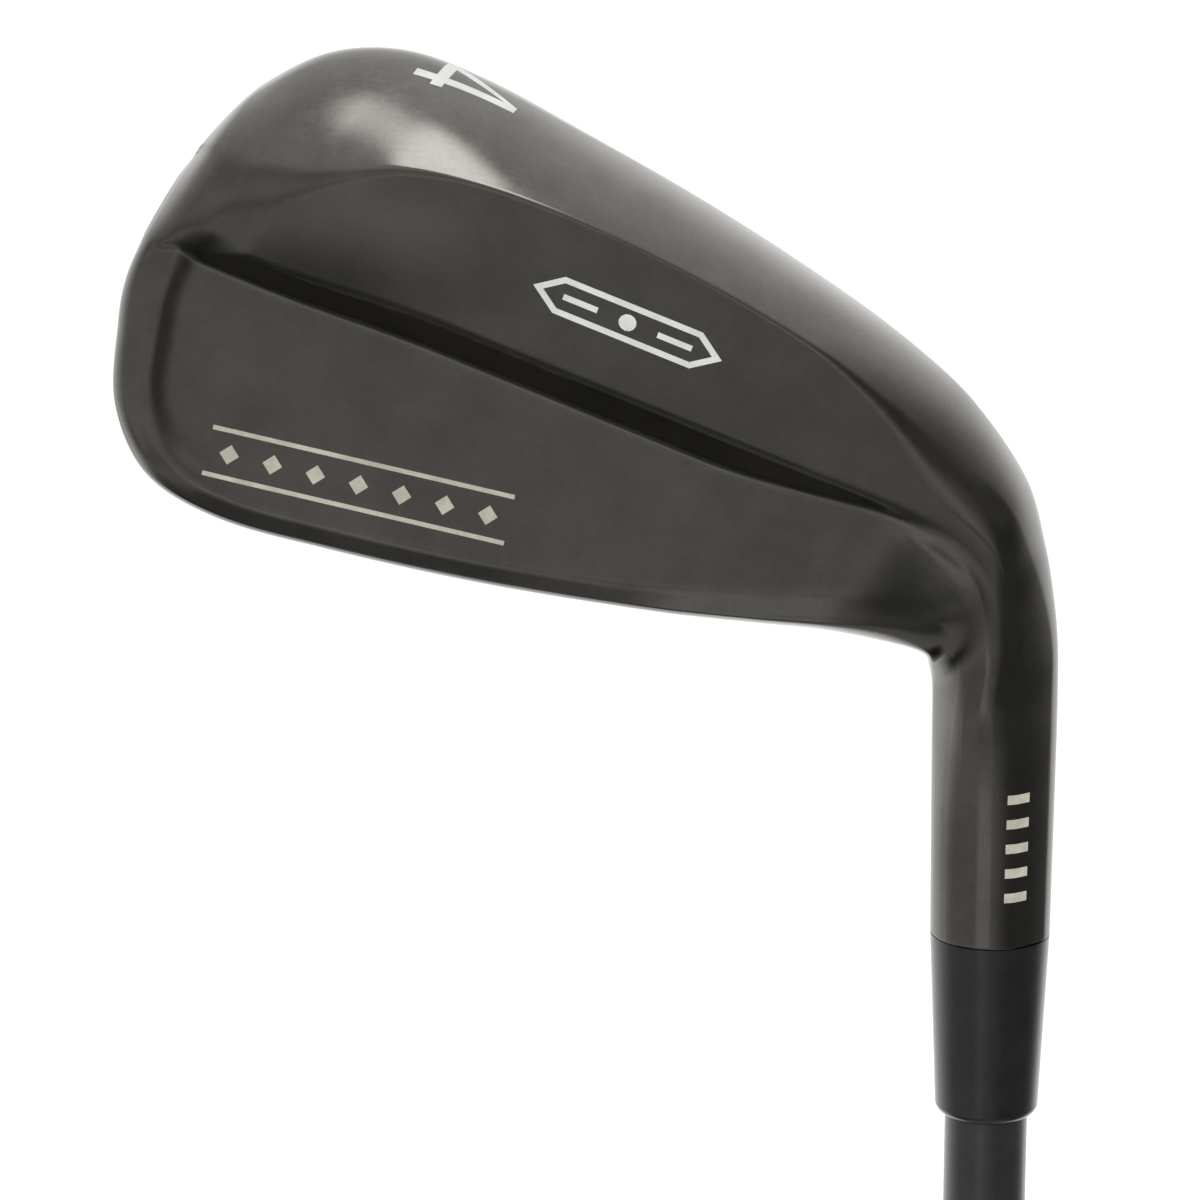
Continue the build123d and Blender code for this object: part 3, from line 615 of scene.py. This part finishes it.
LIP_TOES = (62.0, 76.0)
LEDGE_SOFTNESS = 0.6
TOE_SOFTENING = 1.2
TOE_SOFT_TOES = (78.0, 86.0)
FOOT_SOFTNESS = 1.0
WALL_POWER = 0.5
MUSCLE_WALL_POWER = 0.15
BEVEL_ENDS = (68.0, 80.0)  # the straight bevel turns into the rounded rim
RIM_SOFTNESS = 0.35
MUSCLE_RIM_SOFTNESS = 1.4
CREASE_SOFT_TOES = [2.0, 12.0, 24.0, 40.0, 60.0, 70.0, 78.0, 84.0]
CREASE_SOFT_WIDTHS = [2.4, 1.0, 0.3, 0.15, 0.3, 0.9, 2.4, 3.6]


def ledge_line(toe):
    """Height of the muscle's upper edge."""
    start_toe, start_up = LEDGE_START
    return start_up + LEDGE_SLOPE * (toe - start_toe) + LEDGE_LIFT * smooth_step(toe, *LEDGE_LIFT_TOES)


def back_depth(toe, up):
    """Depth of the back of the blade: muscle, ledge, pocket floor and the rim round the toe."""
    ledge_up = ledge_line(toe)
    under = np.clip(ledge_up - up, 0.0, None)
    crowned = smooth_step(toe, *CROWN_GROWS) * (1 - smooth_step(toe, *CROWN_FADES))
    crown = FACET_CROWN * crowned * under * np.exp(-((under / FACET_CROWN_WIDTH) ** 2))
    muscle = facet_depth(toe, up) + crown
    heel_rise = HEEL_RISE * smooth_step(-toe, *HEEL_RISE_SPAN)
    ledge = LEDGE_DEPTH - LEDGE_STEEPNESS * (up - ledge_up)
    distance = inside_distance(toe, up)
    on_muscle = 1 - smooth_step(up - ledge_up, *MUSCLE_SPAN)
    width = np.interp(toe, WALL_TOES, WALL_WIDTHS)
    near_toe = smooth_step(toe, *LIP_TOES)
    lip_width = np.where(distance < width, LIP_OUTSIDE, LIP_INSIDE)
    lip = LIP_HEIGHT * near_toe * np.exp(-(((distance - width) / lip_width) ** 2))
    floor = POCKET_DEPTH + lip + heel_rise
    muscle_soft = LEDGE_SOFTNESS + TOE_SOFTENING * smooth_step(toe, *TOE_SOFT_TOES)
    base = smooth_most(floor, smooth_least(muscle, ledge, muscle_soft), FOOT_SOFTNESS)
    width = width + (MUSCLE_WALL_WIDTH - width) * on_muscle
    rim_crest = POCKET_DEPTH + LIP_HEIGHT * near_toe
    crest = rim_crest + (np.maximum(muscle, rim_crest) - rim_crest) * on_muscle
    share = np.clip(1 - distance / width, 0, 1)
    power = WALL_POWER + MUSCLE_WALL_POWER * on_muscle
    wall = EDGE_DEPTH + (crest - EDGE_DEPTH) * (1 - share**2) ** power
    beyond = np.clip(distance - width, 0.0, None)
    wall = wall + WALL_RISE * beyond**2
    slope = np.interp(toe, BEVEL_TOES, BEVEL_SLOPES)
    bevel = crest + heel_rise - slope * (width - distance)
    rounded = np.maximum(smooth_step(toe, *BEVEL_ENDS), on_muscle)
    wall = wall * rounded + bevel * (1 - rounded)
    return smooth_least(base, wall, RIM_SOFTNESS + MUSCLE_RIM_SOFTNESS * on_muscle)


BACK_STARTS = (-8.0, 4.0)  # from the heel on, the back takes its depth from back_depth
SOLE_STARTS = (30.0, 60.0)
LEAST_DEPTH = 0.5          # a shallower edge isn't divided by
toe, up_face, depth = blade_places(rings)
weight = smooth_step(toe, *BACK_STARTS)
on_sole = (zones > 1) & (zones <= 2)
on_back = (zones > 2) & (zones < 6.5)
last_sole = np.flatnonzero(on_sole)[-1]
sole_rise = depth[:, last_sole] - depth[:, last_sole - 1]
sole_slope = sole_rise / (up_face[:, last_sole] - up_face[:, last_sole - 1])
sole_beyond = depth[:, last_sole, None] + sole_slope[:, None] * (up_face - up_face[:, last_sole, None])
sole_side = np.where((zones <= 2)[None], depth, sole_beyond)
softness = np.interp(toe, CREASE_SOFT_TOES, CREASE_SOFT_WIDTHS)
target = back_depth(toe, up_face)
target = smooth_least(sole_side, target, softness)
blade_weight = smooth_step(toe, *SOLE_STARTS)
change = np.where(on_back[None], weight, np.where(on_sole[None], blade_weight, 0.0))
edge_depth = depth[:, np.flatnonzero(zones == 6)[-1]].copy()
depth += (target - depth) * change
after_bevel = (zones >= 6.5) & (zones <= 7)
new_edge = depth[:, np.flatnonzero(zones == 6)[-1]]
scale = (new_edge / np.where(np.abs(edge_depth) < LEAST_DEPTH, 1.0, edge_depth))[:, None]
rim_weight = smooth_step(toe[:, after_bevel], *BACK_STARTS)
depth[:, after_bevel] *= 1 + (scale - 1) * rim_weight
rings = blade_points(toe, up_face, depth)

# The heel is faired: small waves are taken out where the blade flows into the hosel.
FAIRING_PASSES = 60
FAIRING_IN = 0.5
FAIRING_OUT = -0.52
RAIL_PITCH = 0.25
RAIL_SPREAD = 2.0
RAIL_REACH = 24            # samples each side, in the spread along a rail
RAIL_OVERRUN = 6.0
FAIR_MIDDLE = (-9.0, 24.0, 6.0)
FAIR_RADII = (12.0, 30.0)  # fully faired inside the first, not at all outside the second
WEIGHT_PASSES = 10
LEAST_WEIGHT = 0.001
LEAST_STEP = 1e-6
middle_distance = np.linalg.norm(rings - blade_points(*FAIR_MIDDLE), axis=2)
fair_zone = np.where((zones > 2.9) | (zones < 0.5), 1.0, 0.0)  # not the leading edge, sole or crease
fair_weight = (1 - smooth_step(middle_distance, *FAIR_RADII)) * fair_zone[None]
for _ in range(WEIGHT_PASSES):
    fair_weight = (fair_weight + np.roll(fair_weight, 1, axis=1) + np.roll(fair_weight, -1, axis=1)) / 3
reach = np.arange(-RAIL_REACH, RAIL_REACH + 1) * RAIL_PITCH
bell = np.exp(-0.5 * (reach / RAIL_SPREAD) ** 2)
bell /= bell.sum()
faired = rings.copy()
for column in np.flatnonzero(fair_weight.max(axis=0) > LEAST_WEIGHT):
    rail = rings[:, column]
    steps = np.linalg.norm(np.diff(rail, axis=0), axis=1) + LEAST_STEP
    along = np.concatenate(([0.0], np.cumsum(steps)))
    even = np.arange(-RAIL_OVERRUN, along[-1] + RAIL_OVERRUN, RAIL_PITCH)
    for axis in range(3):
        smooth = np.convolve(np.interp(even, along, rail[:, axis]), bell, mode="same")
        faired[:, column, axis] = np.interp(along, even, smooth)
rings = rings + (faired - rings) * fair_weight[..., None]
for _ in range(FAIRING_PASSES):
    for step in (FAIRING_IN, FAIRING_OUT):
        near = (np.roll(rings, 1, axis=1) + np.roll(rings, -1, axis=1)) / 2
        rings = rings + (near - rings) * (step * fair_weight[..., None])

# The face is open where the face plate sits, down to a floor behind the score lines.
SEAM = 0.04
SEAT_DEPTH = 0.9
SEAT_FACES = 5             # samples on each side of the opening
SAME_DEPTH = 0.05
FLAT_RING = 0.5            # a ring this even along the toe can take the opening
plate = nodes["face_plate"]
plate_mesh = plate.data
plate_points = np.array([tuple(plate.matrix_world @ one.co) for one in plate_mesh.vertices]) / MM
plate_toe, plate_up, plate_depth = blade_places(plate_points)
plate_edges = np.array([tuple(one.vertices) for one in plate_mesh.edges])
at_back = plate_depth > plate_depth.max() - SAME_DEPTH
plate_edges = plate_edges[at_back[plate_edges].all(axis=1)]
edge_toes = np.sort(plate_toe[plate_edges], axis=1)
face_columns = np.flatnonzero(zones == 0)
toe, up_face, depth = blade_places(rings)
for row in range(len(rings)):
    here = float(toe[row, face_columns].mean())
    crossing = (edge_toes[:, 0] <= here) & (edge_toes[:, 1] > here)
    if not crossing.any() or np.ptp(toe[row, face_columns]) > FLAT_RING:
        continue
    first, second = plate_edges[crossing].T
    share = (here - plate_toe[first]) / (plate_toe[second] - plate_toe[first])
    heights = plate_up[first] + share * (plate_up[second] - plate_up[first])
    opening_top, opening_sole = heights.max() + SEAM, heights.min() - SEAM
    start, end = up_face[row, face_columns[0]], up_face[row, face_columns[-1]]
    inner = len(face_columns) - 2 * SEAT_FACES
    spans = [
        (start, opening_top, SEAT_FACES),
        (opening_top, opening_sole, inner),
        (opening_sole, end, SEAT_FACES),
    ]
    ups = np.concatenate([np.linspace(*span) for span in spans])
    depths = np.zeros(len(face_columns))
    depths[SEAT_FACES:-SEAT_FACES] = SEAT_DEPTH
    rings[row, face_columns] = blade_points(np.full(len(ups), here), ups, depths)

# The toe closes in a shallow dome.
DOME_MIDDLE = (90.0, 29.0, 2.6)
DOME_HEIGHT = 0.15
DOME_RINGS = 12
last = rings[-1]
middle = blade_points(*DOME_MIDDLE)
dome = []
for share in np.cos(np.linspace(0, math.pi / 2, DOME_RINGS + 2)[1:-1]):
    dome.append(middle + (last - middle) * share + TOE * DOME_HEIGHT * math.sqrt(1 - share**2))
rings = np.concatenate((rings, np.array(dome)))
tip = middle + TOE * DOME_HEIGHT


def mesh_piece(name, points, faces, slot, replaced=(), smooth=True):
    """A piece of the object from points in millimetres."""
    mesh = bpy.data.meshes.new(name)
    mesh.from_pydata([tuple(point) for point in np.asarray(points) * MM], [], faces)
    mesh.validate()
    if smooth:
        mesh.shade_smooth()
    piece = bpy.data.objects.new(name, mesh)
    bpy.context.scene.collection.objects.link(piece)
    mesh.materials.append(materials[slot])
    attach(piece, "root")
    if replaced:
        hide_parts(*replaced)
    return piece


count, around = rings.shape[:2]
faces = []
for row in range(count - 1):
    for column in range(around):
        next_column = (column + 1) % around
        a, b = row * around + column, row * around + next_column
        faces.append((a, a + around, b + around, b))
end_ring = (count - 1) * around
skin_points = list(rings.reshape(-1, 3)) + [tip]
for column in range(around):
    faces.append((end_ring + column, len(skin_points) - 1, end_ring + (column + 1) % around))
bore = len(skin_points)
BORE_RADIUS = 4.75
first_ring = rings[0]
axis_point = np.array((0.0, 0.0, first_ring[0, 2]))
mouth_radius = HOSEL_END_RADIUS - LIP_ROUNDING
skin_points += list(axis_point + (first_ring - axis_point) * (BORE_RADIUS / mouth_radius))
for column in range(around):
    following = (column + 1) % around
    faces.append((column, following, bore + following, bore + column))
mesh_piece("head_skin", skin_points, faces, "black_chrome", ["head_body"])

# ---- markings: thin fills that follow the skin -------------------------------------------------------
skin_tree = BVHTree.FromPolygons([tuple(point) for point in skin_points], faces)
FILL_LIFT = 0.03
FILL_DEPTH = 0.25
FILL_PITCH = 0.45
FILL_STAGGER = 0.004       # crossing strokes lie at slightly different heights
CAST_FROM = 5.0
CAST_LENGTH = 12.0


class Place:
    """A flat drawing place on the head, with its x, y and outward directions."""

    def __init__(self, origin, x_way, out_way):
        self.origin = np.asarray(origin, float)
        self.out = np.asarray(out_way, float) / np.linalg.norm(out_way)
        x_way = np.asarray(x_way, float)
        x_way = x_way - (x_way @ self.out) * self.out
        self.x = x_way / np.linalg.norm(x_way)
        self.y = np.cross(self.out, self.x)

    def on_skin(self, flat, lift):
        """A flat point carried onto the skin, square to the drawing."""
        start = self.origin + flat[0] * self.x + flat[1] * self.y + self.out * CAST_FROM
        hit, normal, _, _ = skin_tree.ray_cast(Vector(start), Vector(-self.out), CAST_LENGTH)
        if hit is None:
            raise ValueError("a marking misses the head")
        normal = np.array(normal)
        if normal @ self.out < 0:
            normal = -normal
        return np.array(hit) + normal * lift


def fill_piece(name, place, quads, slot, replaced):
    """Quads of a drawing, laid on the skin as thin fills with their sides let into the head."""
    points, faces = [], []
    for number, quad in enumerate(quads):
        a, b, c, d = [np.asarray(corner, float) for corner in quad]
        wide = max(2, math.ceil(max(np.linalg.norm(b - a), np.linalg.norm(c - d)) / FILL_PITCH))
        deep = max(2, math.ceil(max(np.linalg.norm(d - a), np.linalg.norm(c - b)) / FILL_PITCH))
        lift = FILL_LIFT + FILL_STAGGER * (number % 3)
        first = len(points)
        for row in range(deep + 1):
            for column in range(wide + 1):
                s, t = column / wide, row / deep
                flat = (a * (1 - s) + b * s) * (1 - t) + (d * (1 - s) + c * s) * t
                points.append(place.on_skin(flat, lift))
        line = wide + 1
        for row in range(deep):
            for column in range(wide):
                corner = first + row * line + column
                faces.append((corner, corner + 1, corner + line + 1, corner + line))
        border = [first + column for column in range(wide + 1)]
        border += [first + row * line + wide for row in range(1, deep + 1)]
        border += [first + deep * line + column for column in range(wide - 1, -1, -1)]
        border += [first + row * line for row in range(deep - 1, 0, -1)]
        skirt = len(points)
        points += [points[index] - place.out * FILL_DEPTH for index in border]
        for index in range(len(border)):
            following = (index + 1) % len(border)
            faces.append((border[index], skirt + index, skirt + following, border[following]))
    return mesh_piece(name, points, faces, slot, replaced, smooth=False)


def bar(x, y, length, width):
    """An upright rectangle about a point."""
    left, right, low, high = x - length / 2, x + length / 2, y - width / 2, y + width / 2
    return [(left, low), (right, low), (right, high), (left, high)]


# A lozenge rim with a dot and two dashes, on the muscle.
facet_out = UP_FACE * FACET_SOLE_SLOPE - FACE_OUT - TOE * FACET_TOE_SLOPE
BADGE_PLACE = (38.6, 15.8)
badge_origin = blade_points(*BADGE_PLACE, facet_depth(*BADGE_PLACE))
badge_place = Place(badge_origin, TOE + UP_FACE * (FACET_TOE_SLOPE / FACET_SOLE_SLOPE), facet_out)
HALF_LENGTH, HALF_HEIGHT, POINT, RIM = 11.0, 2.3, 3.0, 0.7
DASH_PLACE, DASH_LENGTH = 5.5, 4.0
side_slope = math.hypot(POINT, HALF_HEIGHT)
inner_length = HALF_LENGTH - RIM * side_slope / HALF_HEIGHT
inner_height = HALF_HEIGHT - RIM
inner_flat = inner_length - inner_height * POINT / HALF_HEIGHT


def lozenge(length, flat, height):
    return [(-length, 0), (-flat, height), (flat, height), (length, 0), (flat, -height), (-flat, -height)]


outer = lozenge(HALF_LENGTH, HALF_LENGTH - POINT, HALF_HEIGHT)
inner = lozenge(inner_length, inner_flat, inner_height)
badge_quads = [(outer[i], outer[(i + 1) % 6], inner[(i + 1) % 6], inner[i]) for i in range(6)]
badge_quads += [bar(side * DASH_PLACE, 0, DASH_LENGTH, RIM) for side in (-1, 1)]
DOT_RADIUS = 1.0
for wedge in range(6):
    angles = [math.radians(60 * wedge + 30 * turn) for turn in range(3)]
    rim_points = [(DOT_RADIUS * math.cos(one), DOT_RADIUS * math.sin(one)) for one in angles]
    badge_quads.append([(0.0, 0.0), *rim_points])
fill_piece("muscle_mark", badge_place, badge_quads, "silver_fill", ["muscle_badge"])

# Two pinstripes and a row of diamonds, on the blade.
STRIPE_PLACE = (55.0, 45.5)
STRIPE_LENGTH, STRIPE_SPREAD, STRIPE_WIDTH = 34.0, 2.6, 0.5
DIAMONDS, DIAMOND = 7, 1.1
slant = math.radians(18.2)
stripe_way = TOE * math.cos(slant) + UP_FACE * math.sin(slant)
stripe_place = Place(blade_points(*STRIPE_PLACE, POCKET_DEPTH), stripe_way, -FACE_OUT)
stripe_quads = [bar(0, side * STRIPE_SPREAD, STRIPE_LENGTH, STRIPE_WIDTH) for side in (1, -1)]
for number in range(DIAMONDS):
    x = (number - (DIAMONDS - 1) / 2) * STRIPE_LENGTH / DIAMONDS
    stripe_quads.append([(x - DIAMOND, 0), (x, -DIAMOND), (x + DIAMOND, 0), (x, DIAMOND)])
fill_piece("blade_mark", stripe_place, stripe_quads, "champagne_fill", ["blade_inlay"])

# The club's number on the sole.
NUMERAL_PLACE = (67.5, 1.7, 6.3)
TALL, WIDE, STROKE = 12.0, 6.6, 1.4
tilt, numeral_turn = math.radians(34.5), math.radians(11.0)
sole_out = (-UP_FACE * math.cos(tilt) - FACE_OUT * math.sin(tilt)) * math.cos(numeral_turn)
sole_out = sole_out + TOE * math.sin(numeral_turn)
numeral_way = UP_FACE * math.sin(tilt) - FACE_OUT * math.cos(tilt)
numeral_place = Place(blade_points(*NUMERAL_PLACE), numeral_way, sole_out)
stem, level = WIDE / 4, -TALL / 4
numeral_quads = [
    bar(stem, (TALL / 2 + level + STROKE / 2) / 2, STROKE, TALL / 2 - level - STROKE / 2),
    bar(stem, (level - STROKE / 2 - TALL / 2) / 2, STROKE, level - STROKE / 2 + TALL / 2),
    bar(0, level, WIDE, STROKE),
    [(-WIDE / 2, level + STROKE / 2), (-WIDE / 2 + STROKE, level + STROKE / 2),
     (stem - STROKE / 2, TALL / 2 - STROKE), (stem - STROKE / 2, TALL / 2)],
]
fill_piece("sole_number", numeral_place, numeral_quads, "white_fill", ["sole_numeral"])

# Five short bars on the hosel.
HOSEL_MARK_DOWN = 50.5
MARK_BARS, MARK_PITCH, MARK_WIDTH, MARK_LENGTH = 5, 2.9, 1.1, 2.8
around_hosel = math.radians(31.0)
hosel_out = np.array((math.sin(around_hosel), -math.cos(around_hosel), 0.0))
hosel_origin = GROUND_POINT - (0, 0, HOSEL_MARK_DOWN) + hosel_out * HOSEL_ROOT_RADIUS
hosel_place = Place(hosel_origin, (0, 0, 1.0), hosel_out)
hosel_quads = []
for number in range(MARK_BARS):
    hosel_quads.append(bar((number - (MARK_BARS - 1) / 2) * MARK_PITCH, 0, MARK_WIDTH, MARK_LENGTH))
fill_piece("hosel_mark", hosel_place, hosel_quads, "champagne_fill", ["hosel_inlay"])

# ---- other CAD pieces keep their shapes and get their materials ------------------------------------
slots = {one["node"]: one["material_slot"] for one in frame["record"]["subparts"]}
for name, piece in nodes.items():
    piece.data.materials.clear()
    piece.data.materials.append(materials[slots[name]])
